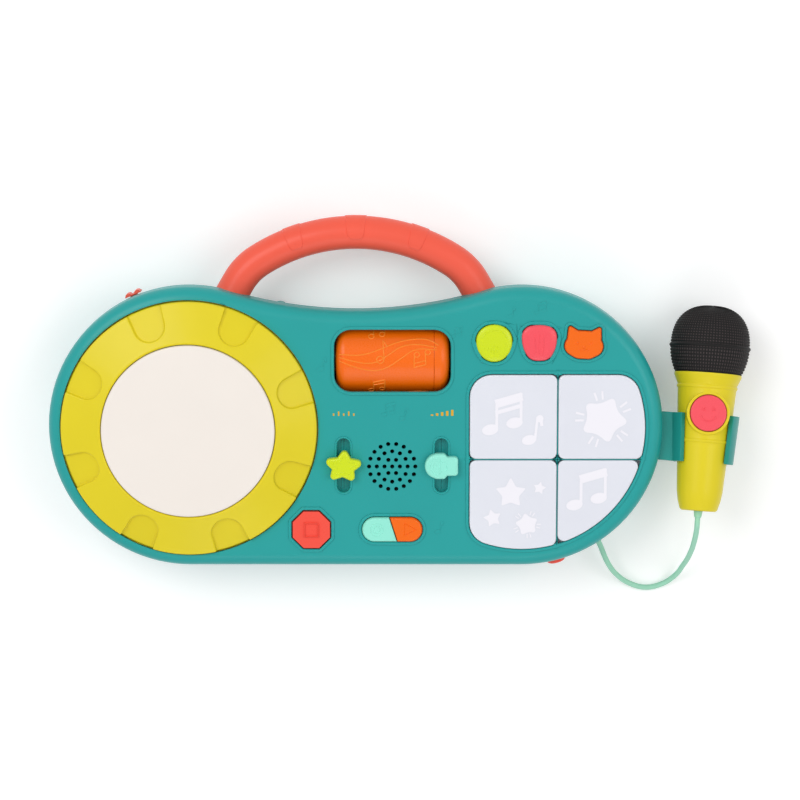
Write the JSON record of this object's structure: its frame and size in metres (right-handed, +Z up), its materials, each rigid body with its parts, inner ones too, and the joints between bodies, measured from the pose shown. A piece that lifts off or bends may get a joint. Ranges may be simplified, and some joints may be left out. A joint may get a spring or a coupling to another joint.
{
  "type": "toy music player with drum pad",
  "caption": "Two-lobed toy music player with a drum pad in a spinning ring, light-up pads, roller, sliders, buttons, carrying handle and a tethered microphone in a side clip.",
  "frame": {"origin": "midway between the centres of the two lobes, on the bottom of the middle foot", "axes": "+X to the microphone, +Y to the carrying handle, +Z up out of the face; the player lies on its back"},
  "size_m": [0.4346, 0.244, 0.0739],
  "materials": {
    "teal": "glossy moulded plastic",
    "deep_teal": "glossy moulded plastic",
    "coral": "glossy moulded plastic",
    "yellow": "glossy moulded plastic",
    "cream": "satin moulded plastic",
    "orange": "glossy moulded plastic",
    "lime": "glossy moulded plastic",
    "pink": "glossy moulded plastic",
    "red": "glossy moulded plastic",
    "mint": "glossy moulded plastic",
    "milk": "translucent white plastic",
    "cord": "soft mint sheath",
    "dark": "satin dark plastic",
    "cone": "matt paper cone",
    "steel": "plated steel",
    "brass": "brass disc",
    "foam": "soft foam",
    "rubber": "matt rubber",
    "board": "printed circuit board",
    "switch": "dark moulded plastic",
    "magnet": "ferrite magnet",
    "cell": "bare wrapped cell",
    "lamp": "clear lamp"
  },
  "bodies": {
    "case": {"front_shell": "teal", "rear_shell": "teal", "battery_door": "teal", "cord_gland": "teal", "mic_clip": "deep_teal", "drum_base": "deep_teal", "handle": "coral", "roller_cradle": "cream", "mic_cord": "cord", "speaker_cone": "cone", "case_screws": "steel", "board_screws": "steel", "battery_door_screw": "steel", "battery_contacts": "steel", "roller_axle": "steel", "speaker_basket": "steel", "clip_screws": "steel", "drum_sensor": "brass", "drum_foam": "foam", "feet": "rubber", "control_board": "board", "pad_board": "board", "tact_switches": "switch", "tempo_fader": "switch", "volume_fader": "switch", "power_switch_body": "switch", "mode_switch": "switch", "speaker_magnet": "magnet", "batteries": "cell", "pad_lamps": "lamp"},
    "ring": {"turntable_ring": "yellow"},
    "drum": {"drum_head": "cream"},
    "roller": {"roller": "orange", "roller_cap": "orange"},
    "stop": {"stop_button": "red"},
    "record": {"record_button": "mint"},
    "play": {"play_button": "orange"},
    "lime": {"lime_button": "lime"},
    "pink": {"pink_button": "pink"},
    "cat": {"cat_button": "orange"},
    "pad_a": {"pad_1": "milk"},
    "pad_b": {"pad_2": "milk"},
    "pad_c": {"pad_3": "milk"},
    "pad_d": {"pad_4": "milk"},
    "tempo": {"tempo_slider": "lime"},
    "volume": {"volume_slider": "mint"},
    "power": {"power_switch": "coral"},
    "mode": {"mode_button": "red"},
    "mic": {"mic_body": "yellow", "mic_head": "dark", "mic_ring": "dark", "mic_collar": "cord", "mic_board": "board", "mic_capsule": "switch"},
    "talk": {"mic_button": "pink"}
  },
  "joints": [
    {"name": "ring_spin", "type": "hinge", "parent": "case", "child": "ring", "pos_m": [-0.1025, 0, 0.06], "axis": [0, 0, 1], "continuous": true},
    {"name": "drum_press", "type": "slide", "parent": "case", "child": "drum", "axis": [0, 0, -1], "range_m": [0, 0.0015], "stiffness_N_per_m": 900, "springref_m": -0.001, "deforming": ["drum_foam"]},
    {"name": "roller_spin", "type": "hinge", "parent": "case", "child": "roller", "pos_m": [0.0227, 0.042, 0.0373], "axis": [1, 0, 0], "continuous": true},
    {"name": "stop_press", "type": "slide", "parent": "case", "child": "stop", "axis": [0, 0, -1], "range_m": [0, 0.0015], "stiffness_N_per_m": 400, "springref_m": -0.001},
    {"name": "record_press", "type": "slide", "parent": "case", "child": "record", "axis": [0, 0, -1], "range_m": [0, 0.0015], "stiffness_N_per_m": 400, "springref_m": -0.001},
    {"name": "play_press", "type": "slide", "parent": "case", "child": "play", "axis": [0, 0, -1], "range_m": [0, 0.0015], "stiffness_N_per_m": 400, "springref_m": -0.001},
    {"name": "lime_press", "type": "slide", "parent": "case", "child": "lime", "axis": [0, 0, -1], "range_m": [0, 0.0015], "stiffness_N_per_m": 400, "springref_m": -0.001},
    {"name": "pink_press", "type": "slide", "parent": "case", "child": "pink", "axis": [0, 0, -1], "range_m": [0, 0.0015], "stiffness_N_per_m": 400, "springref_m": -0.001},
    {"name": "cat_press", "type": "slide", "parent": "case", "child": "cat", "axis": [0, 0, -1], "range_m": [0, 0.0015], "stiffness_N_per_m": 400, "springref_m": -0.001},
    {"name": "pad_1_press", "type": "slide", "parent": "case", "child": "pad_a", "axis": [0, 0, -1], "range_m": [0, 0.0015], "stiffness_N_per_m": 400, "springref_m": -0.001},
    {"name": "pad_2_press", "type": "slide", "parent": "case", "child": "pad_b", "axis": [0, 0, -1], "range_m": [0, 0.0015], "stiffness_N_per_m": 400, "springref_m": -0.001},
    {"name": "pad_3_press", "type": "slide", "parent": "case", "child": "pad_c", "axis": [0, 0, -1], "range_m": [0, 0.0015], "stiffness_N_per_m": 400, "springref_m": -0.001},
    {"name": "pad_4_press", "type": "slide", "parent": "case", "child": "pad_d", "axis": [0, 0, -1], "range_m": [0, 0.0015], "stiffness_N_per_m": 400, "springref_m": -0.001},
    {"name": "tempo_slide", "type": "slide", "parent": "case", "child": "tempo", "axis": [0, 1, 0], "range_m": [-0.01195, 0.01195]},
    {"name": "volume_slide", "type": "slide", "parent": "case", "child": "volume", "axis": [0, 1, 0], "range_m": [-0.01195, 0.01195]},
    {"name": "power_slide", "type": "slide", "parent": "case", "child": "power", "axis": [-0.9157, -0.4019, 0], "range_m": [-0.002, 0.002]},
    {"name": "mode_press", "type": "slide", "parent": "case", "child": "mode", "axis": [-0.2504, 0.9681, 0], "range_m": [0, 0.002], "stiffness_N_per_m": 400, "springref_m": -0.001},
    {"name": "mic_slide", "type": "slide", "parent": "case", "child": "mic", "axis": [0.0753, 0.9787, -0.1908], "range_m": [0, 0.03], "deforming": ["mic_cord"]},
    {"name": "talk_press", "type": "slide", "parent": "mic", "child": "talk", "axis": [-0.0146, -0.1902, -0.9816], "range_m": [0, 0.0012], "stiffness_N_per_m": 400, "springref_m": -0.001}
  ]
}
